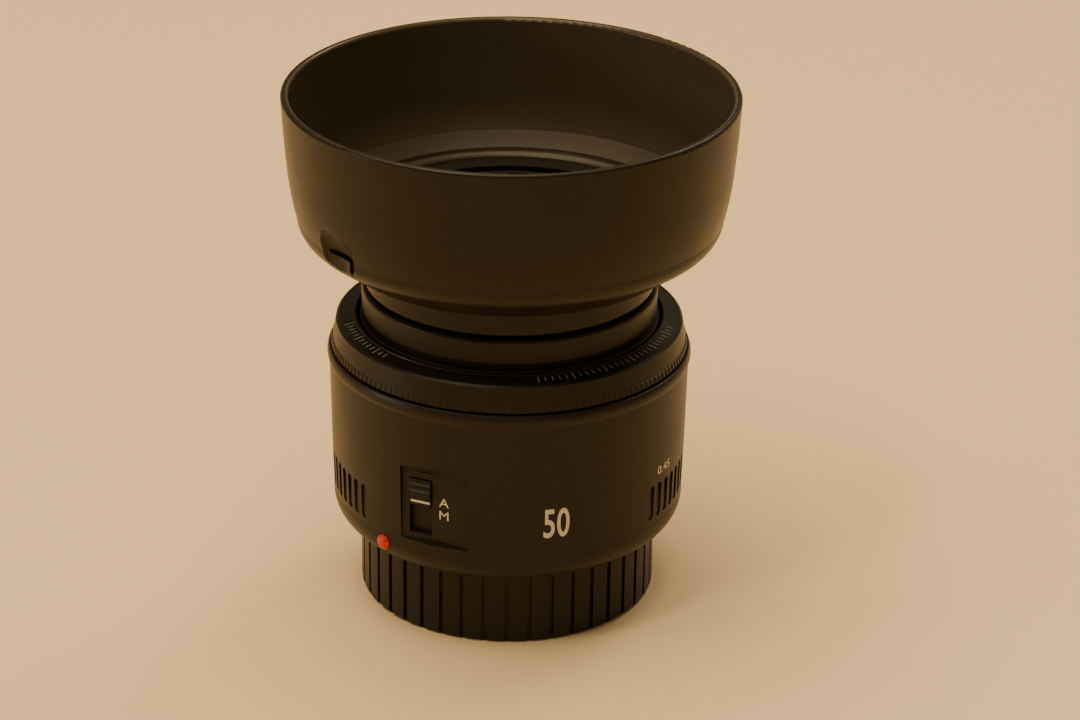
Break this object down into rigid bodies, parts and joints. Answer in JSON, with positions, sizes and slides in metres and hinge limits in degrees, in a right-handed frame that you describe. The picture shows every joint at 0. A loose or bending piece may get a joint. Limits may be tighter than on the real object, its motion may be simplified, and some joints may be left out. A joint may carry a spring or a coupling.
{
  "type": "interchangeable camera lens",
  "caption": "Standard prime autofocus camera lens standing on its rear cap, with a bowl-shaped clip-on hood, focus ring, mode switch, iris and focus drive.",
  "frame": {"origin": "centre of the rear cap's underside, on the surface that the lens stands on", "axes": "+Z along the optical axis towards the subject; -Y towards the index dot and mode switch side; +X to the right of that side"},
  "size_m": [0.084, 0.084, 0.099],
  "materials": {
    "barrel_plastic": "fine matte texture",
    "cap_plastic": "satin moulded",
    "mount_plastic": "satin moulded",
    "ring_plastic": "satin moulded",
    "adapter_plastic": "satin moulded",
    "hood_plastic": "fine satin",
    "switch_panel": "satin",
    "knob_plastic": "satin",
    "inner_plastic": "glass-filled, dull",
    "baffle_black": "flat black, light-absorbing",
    "index_red": "moulded red",
    "coated_glass": "polished, anti-reflection coated",
    "contact_gold": "gold plated",
    "screw_steel": "blackened steel",
    "motor_steel": "plated steel can",
    "spring_steel": "drawn spring wire",
    "blade_steel": "blackened sheet",
    "gear_plastic": "natural acetal",
    "gear_brass": "machined",
    "board_green": "solder mask",
    "chip_black": "moulded packages",
    "flex_film": "amber film"
  },
  "bodies": {
    "barrel": {"outer_barrel": "barrel_plastic", "mount_plate": "mount_plastic", "mount_screws": "screw_steel", "rear_baffle": "baffle_black", "contact_block": "mount_plastic", "contact_pins": "contact_gold", "contact_flex": "flex_film", "index_dot": "index_red", "switch_plate": "switch_panel", "switch_contacts": "contact_gold", "chassis": "inner_plastic", "circuit_board": "board_green", "board_parts": "chip_black", "gearbox_plate": "inner_plastic", "gearbox_cover": "inner_plastic", "gear_axles": "screw_steel", "af_motor": "motor_steel"},
    "rear_cap": {"rear_cap": "cap_plastic"},
    "focus_ring": {"focus_ring": "ring_plastic", "name_ring": "ring_plastic", "helicoid_drum": "inner_plastic", "drum_screws": "screw_steel"},
    "inner_barrel": {"inner_barrel": "inner_plastic", "front_baffle": "baffle_black", "front_cell": "inner_plastic", "front_retaining_ring": "baffle_black", "lens_1": "coated_glass", "lens_2": "coated_glass", "lens_3": "coated_glass", "lens_spacer": "baffle_black", "diaphragm_base": "inner_plastic", "lens_4": "coated_glass", "lens_5": "coated_glass", "lens_6": "coated_glass", "rear_cell": "inner_plastic", "rear_spacer": "baffle_black", "rear_retaining_ring": "baffle_black", "aperture_motor": "motor_steel", "adapter_ring": "adapter_plastic"},
    "output_gear": {"output_gear": "gear_plastic"},
    "idler_gear": {"idler_gear": "gear_plastic"},
    "motor_pinion": {"motor_pinion": "gear_brass"},
    "aperture_ring": {"aperture_ring": "inner_plastic"},
    "aperture_pinion": {"aperture_pinion": "gear_brass"},
    "hood": {"hood_shell": "hood_plastic", "hood_inner_ring": "hood_plastic", "latch_spring_left": "spring_steel", "latch_spring_right": "spring_steel"},
    "hood_latch_left": {"hood_latch_left": "knob_plastic"},
    "hood_latch_right": {"hood_latch_right": "knob_plastic"},
    "focus_mode_switch": {"switch_knob": "knob_plastic", "switch_slider": "knob_plastic"},
    "blade_1": {"blade_1": "blade_steel"},
    "blade_2": {"blade_2": "blade_steel"},
    "blade_3": {"blade_3": "blade_steel"},
    "blade_4": {"blade_4": "blade_steel"},
    "blade_5": {"blade_5": "blade_steel"}
  },
  "joints": [
    {"name": "focus_ring_turn", "type": "hinge", "parent": "barrel", "child": "focus_ring", "pos_m": [0, 0, 0.05], "axis": [0, 0, 1], "range_deg": [0, 100]},
    {"name": "focus_travel", "type": "slide", "parent": "barrel", "child": "inner_barrel", "axis": [0, 0, 1], "range_m": [0, 0.0075]},
    {"name": "output_gear_spin", "type": "hinge", "parent": "barrel", "child": "output_gear", "pos_m": [0.00448, 0.02662, 0.0232], "axis": [0, 0, 1], "range_deg": [-800, 0]},
    {"name": "idler_gear_spin", "type": "hinge", "parent": "barrel", "child": "idler_gear", "pos_m": [0, 0.027, 0.0254], "axis": [0, 0, 1], "range_deg": [0, 2200]},
    {"name": "motor_pinion_spin", "type": "hinge", "parent": "barrel", "child": "motor_pinion", "pos_m": [-0.00448, 0.02662, 0.0267], "axis": [0, 0, 1], "range_deg": [-6050, 0]},
    {"name": "rear_cap_turn", "type": "hinge", "parent": "barrel", "child": "rear_cap", "pos_m": [0, 0, 0.0073], "axis": [0, 0, 1], "range_deg": [-60, 0]},
    {"name": "focus_mode_slide", "type": "slide", "parent": "barrel", "child": "focus_mode_switch", "axis": [0, 0, -1], "range_m": [0, 0.003]},
    {"name": "aperture_ring_turn", "type": "hinge", "parent": "inner_barrel", "child": "aperture_ring", "pos_m": [0, 0, 0.0243], "axis": [0, 0, 1], "range_deg": [0, 40]},
    {"name": "aperture_pinion_spin", "type": "hinge", "parent": "inner_barrel", "child": "aperture_pinion", "pos_m": [0, -0.0174, 0.0243], "axis": [0, 0, 1], "range_deg": [-395, 0]},
    {"name": "hood_turn", "type": "hinge", "parent": "inner_barrel", "child": "hood", "pos_m": [0, 0, 0.068], "axis": [0, 0, 1], "continuous": true},
    {"name": "hood_button_left", "type": "slide", "parent": "hood", "child": "hood_latch_left", "axis": [0.7771, 0.6293, 0], "range_m": [0, 0.0015], "stiffness_N_per_m": 900, "springref_m": -0.0015},
    {"name": "hood_button_right", "type": "slide", "parent": "hood", "child": "hood_latch_right", "axis": [-0.7771, -0.6293, 0], "range_m": [0, 0.0015], "stiffness_N_per_m": 900, "springref_m": -0.0015},
    {"name": "blade_1_swing", "type": "hinge", "parent": "inner_barrel", "child": "blade_1", "pos_m": [0, -0.0142, 0.0251], "axis": [0, 0, 1], "range_deg": [0, 33]},
    {"name": "blade_2_swing", "type": "hinge", "parent": "inner_barrel", "child": "blade_2", "pos_m": [0.0135, -0.00439, 0.0251], "axis": [0, 0, 1], "range_deg": [0, 33]},
    {"name": "blade_3_swing", "type": "hinge", "parent": "inner_barrel", "child": "blade_3", "pos_m": [0.00835, 0.01149, 0.0251], "axis": [0, 0, 1], "range_deg": [0, 33]},
    {"name": "blade_4_swing", "type": "hinge", "parent": "inner_barrel", "child": "blade_4", "pos_m": [-0.00835, 0.01149, 0.0251], "axis": [0, 0, 1], "range_deg": [0, 33]},
    {"name": "blade_5_swing", "type": "hinge", "parent": "inner_barrel", "child": "blade_5", "pos_m": [-0.0135, -0.00439, 0.0251], "axis": [0, 0, 1], "range_deg": [0, 33]}
  ],
  "couplings": [
    {"joint": "focus_travel", "follows": "focus_ring_turn", "m_per_rad": 0.0042971},
    {"joint": "output_gear_spin", "follows": "focus_ring_turn", "ratio": -8},
    {"joint": "idler_gear_spin", "follows": "focus_ring_turn", "ratio": 22},
    {"joint": "motor_pinion_spin", "follows": "focus_ring_turn", "ratio": -60.5},
    {"joint": "aperture_pinion_spin", "follows": "aperture_ring_turn", "ratio": -9.875},
    {"joint": "blade_1_swing", "follows": "aperture_ring_turn", "ratio": 0.825},
    {"joint": "blade_2_swing", "follows": "aperture_ring_turn", "ratio": 0.825},
    {"joint": "blade_3_swing", "follows": "aperture_ring_turn", "ratio": 0.825},
    {"joint": "blade_4_swing", "follows": "aperture_ring_turn", "ratio": 0.825},
    {"joint": "blade_5_swing", "follows": "aperture_ring_turn", "ratio": 0.825}
  ]
}
